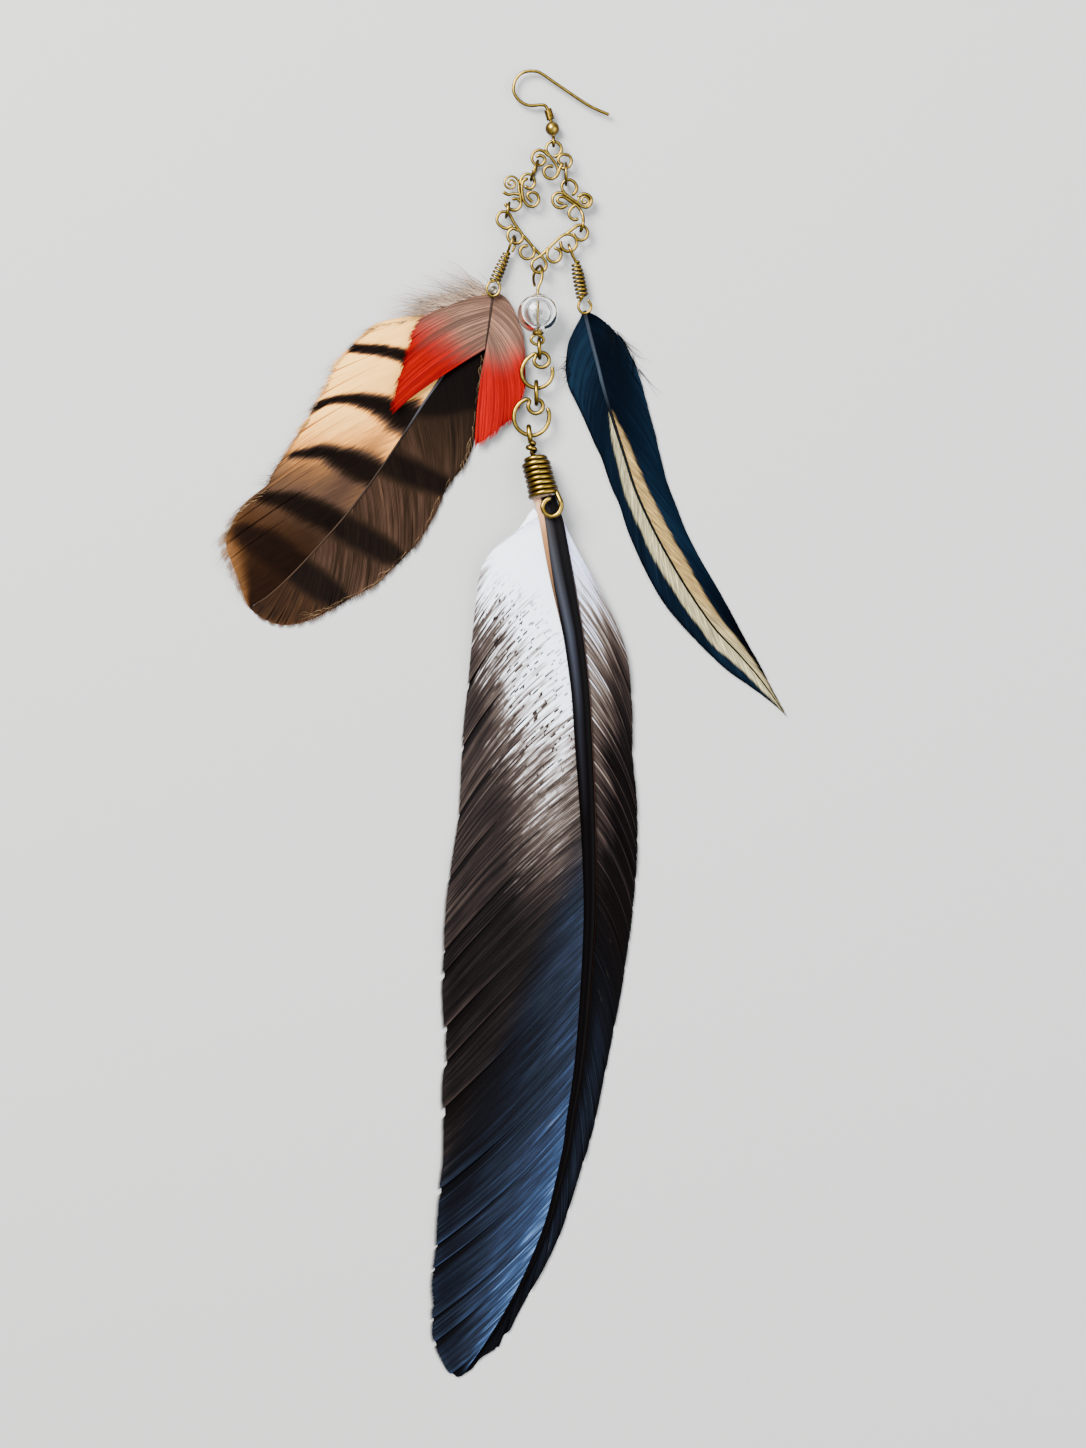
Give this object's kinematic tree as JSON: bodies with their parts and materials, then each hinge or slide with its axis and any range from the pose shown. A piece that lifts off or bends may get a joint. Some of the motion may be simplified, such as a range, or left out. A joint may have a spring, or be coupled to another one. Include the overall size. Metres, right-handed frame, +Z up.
{
  "type": "vulture feather ear ornament",
  "caption": "Long dark vulture feather hung by wound brass wire and chain from an openwork ear ornament, with barred, red-tipped and blue side feathers, lying flat.",
  "frame": {"origin": "centre of the bounding box in plan, on the surface that the ornament lies on", "axes": "+Y from the long feather's tip towards the ear hook, +X to the side of the blue feather, +Z up from the surface"},
  "size_m": [0.1133, 0.2612, 0.0081],
  "materials": {
    "brass": "antique, rubbed bright on the high spots",
    "pewter": "dull silver",
    "glass": "clear, polished",
    "dark_feather": "glossy black shaft; vanes white at the base, brown-black with a blue gloss below",
    "barred_feather": "matte, cream and brown bars",
    "red_feather": "matte, grey-brown to red",
    "blue_feather": "satin, dark blue with cream stripes"
  },
  "bodies": {
    "pendant": {"top_scroll": "brass", "left_scroll": "brass", "right_scroll": "brass", "lower_frame": "brass", "top_left_link": "brass", "top_right_link": "brass", "lower_left_link": "brass", "left_tie": "brass", "left_eyelet": "pewter", "banded_feather": "barred_feather", "red_feather": "red_feather", "right_tie": "brass", "blue_feather": "blue_feather", "bead_pin": "brass", "glass_bead": "glass", "bead_cap": "brass", "ring_1": "brass", "scroll_link_1": "brass", "ring_2": "brass", "scroll_link_2": "brass", "feather_tie": "brass", "vulture_feather": "dark_feather"},
    "hook": {"ear_wire": "brass", "hook_coil": "brass", "hook_ball": "brass"}
  },
  "joints": [
    {"name": "hook_swing", "type": "hinge", "parent": "pendant", "child": "hook", "pos_m": [0.00989, 0.11612, 0.0022], "axis": [0, 0, 1], "range_deg": [-25, 25]}
  ]
}
